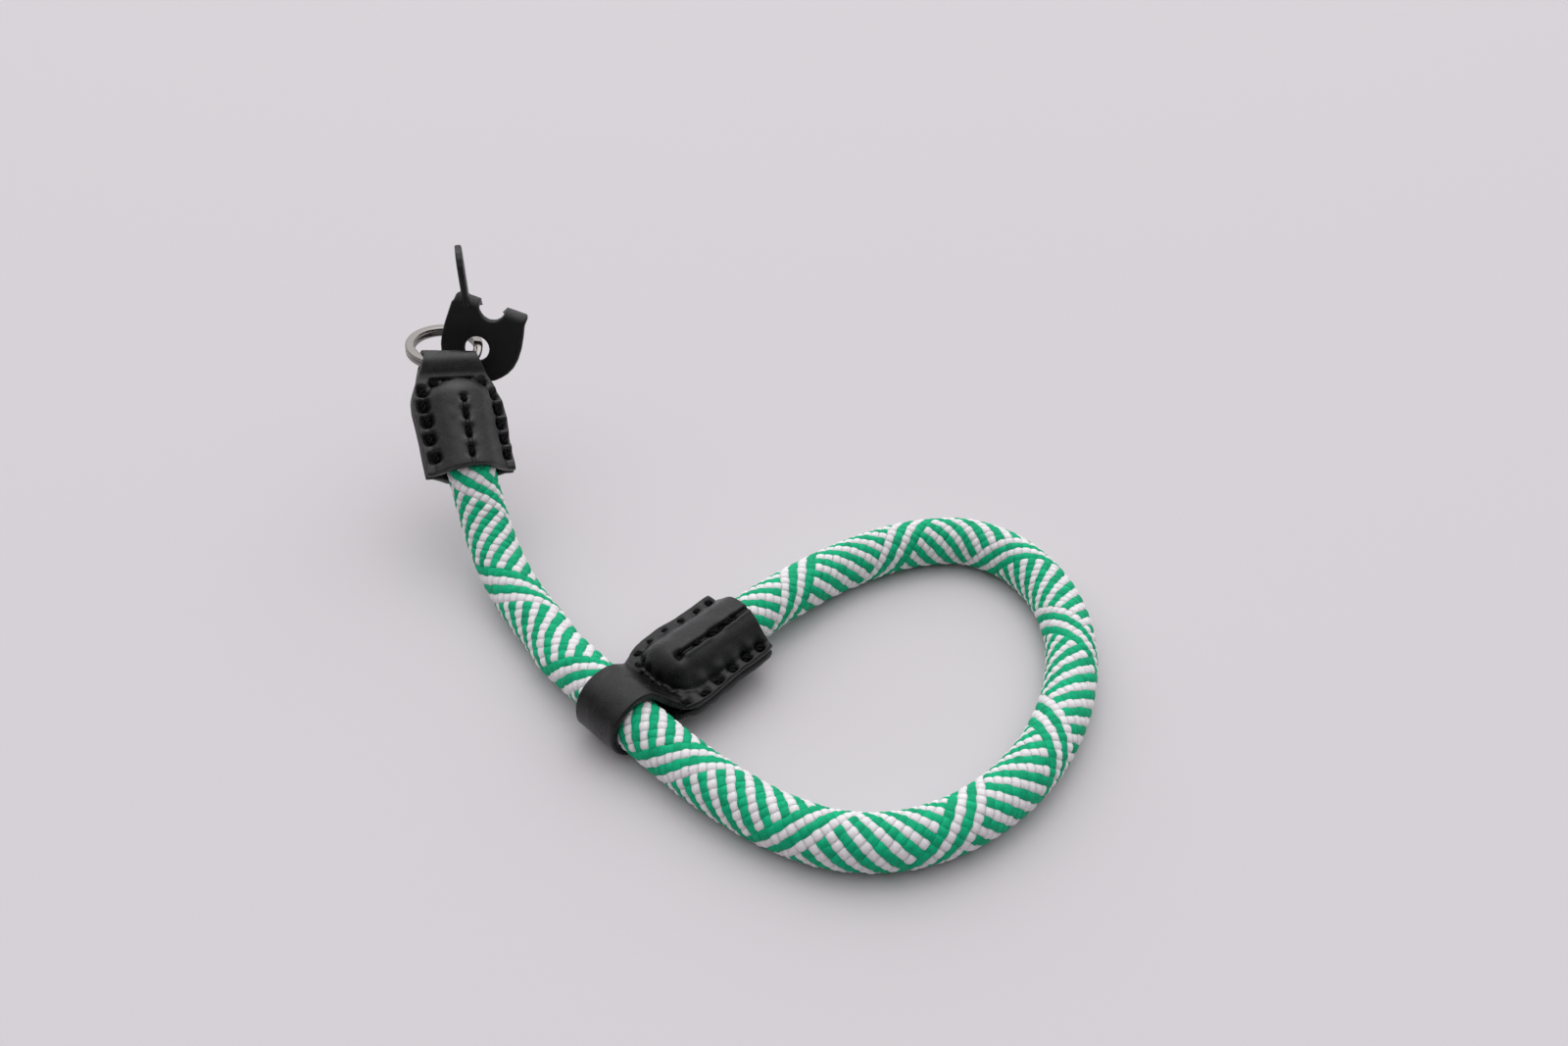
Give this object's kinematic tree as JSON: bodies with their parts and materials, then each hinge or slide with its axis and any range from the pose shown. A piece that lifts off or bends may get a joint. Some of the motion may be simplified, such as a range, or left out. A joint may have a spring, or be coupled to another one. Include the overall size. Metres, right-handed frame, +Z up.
{
  "type": "camera wrist strap",
  "caption": "Thick braided rope wrist strap with leather end caps, a slider band that closes the hand loop, a split ring and a leather lug protector.",
  "frame": {"origin": "centre of the camera lug that the leather protector is folded over, where the strap is held", "axes": "+Z is up, away from the level surface that the hand loop lies on; +X runs from the ring end towards the far end of the hand loop; +Y is away from a viewer who faces the ring cap"},
  "size_m": [0.1629, 0.1407, 0.0598],
  "materials": {
    "rope_green": "braided yarn, soft matt sheen",
    "rope_white": "braided yarn, soft matt",
    "leather": "smooth black cowhide, fine grain, satin",
    "thread": "waxed black thread",
    "ring_metal": "polished dark nickel"
  },
  "bodies": {
    "strap": {"rope": "rope_green", "ring_cap": "leather", "slider_cap": "leather", "lug_protector": "leather"},
    "ring": {"split_ring": "ring_metal"}
  },
  "joints": [
    {"name": "ring_turn", "type": "hinge", "parent": "strap", "child": "ring", "pos_m": [-0.0123, -0.0051, -0.0108], "axis": [0.0797, 0, 0.9968], "continuous": true}
  ]
}
